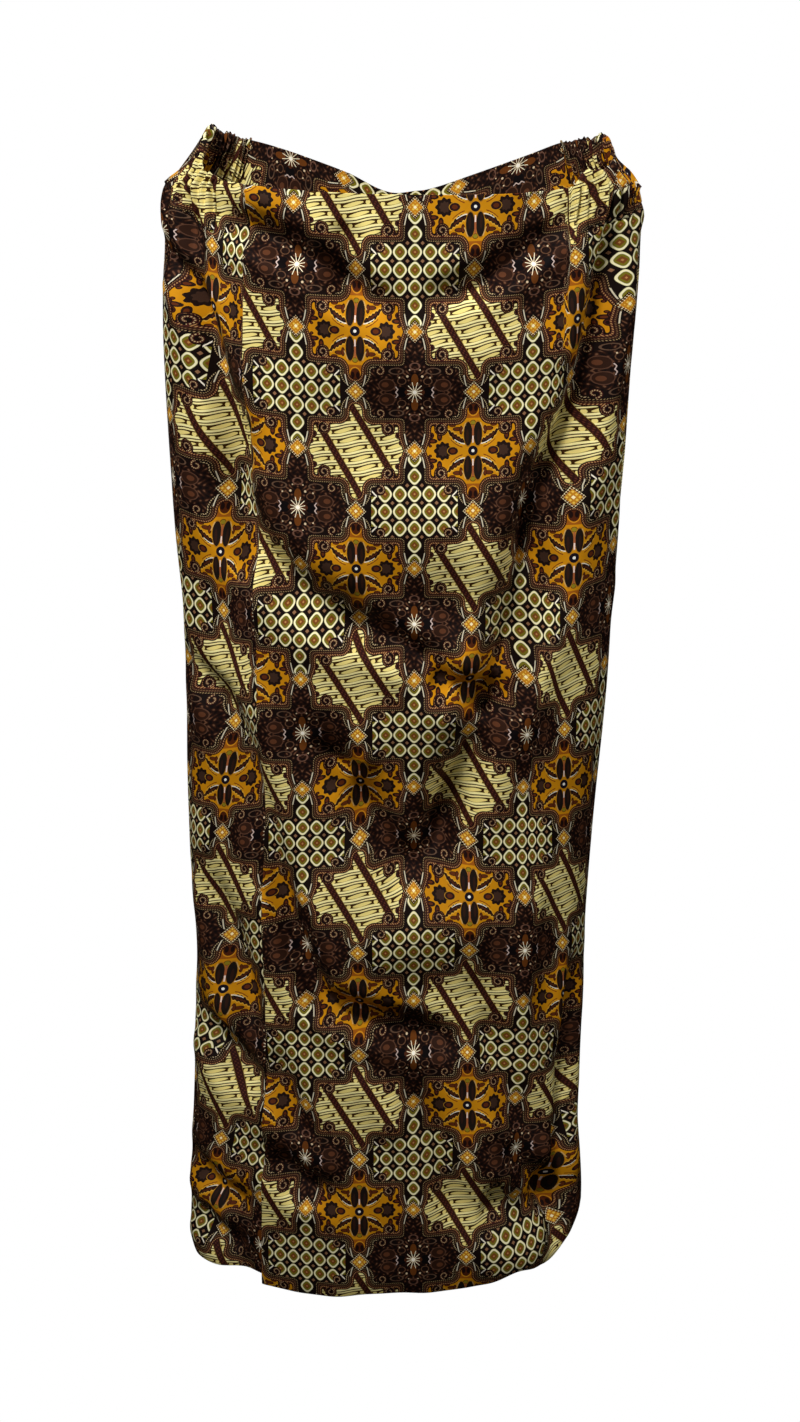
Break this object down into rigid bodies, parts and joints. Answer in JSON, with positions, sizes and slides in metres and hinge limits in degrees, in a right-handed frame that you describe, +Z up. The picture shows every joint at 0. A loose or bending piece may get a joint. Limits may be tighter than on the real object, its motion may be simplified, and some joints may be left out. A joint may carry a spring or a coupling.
{
  "type": "batik skirt",
  "caption": "Long batik tube skirt with an overlapped front, a front dart, gathered elastic casings at the sides of the waist and a faced flat back waist, filled out and open at waist and hem.",
  "frame": {"origin": "middle of the waist opening, at the height of the front waist edge", "axes": "+Z up along the skirt's length, from the hem to the waist; the front with its overlap faces -Y; +X is the wearer's left, on the side away from the overlap's free edge"},
  "size_m": [0.4161, 0.2299, 1.0469],
  "materials": {
    "batik_cloth": "plain-woven batik cloth with a soft satin sheen, printed in brown, ochre and cream",
    "facing_cloth": "the same batik cloth as a flat facing inside the back waist",
    "casing_cloth": "the same batik cloth doubled over elastic and drawn into fine gathers"
  },
  "bodies": {
    "root": {"front_overlap_panel": "batik_cloth", "left_front_panel": "batik_cloth", "back_panel": "batik_cloth", "back_waist_facing": "facing_cloth", "left_elastic_casing": "casing_cloth", "right_elastic_casing": "casing_cloth"}
  },
  "joints": []
}
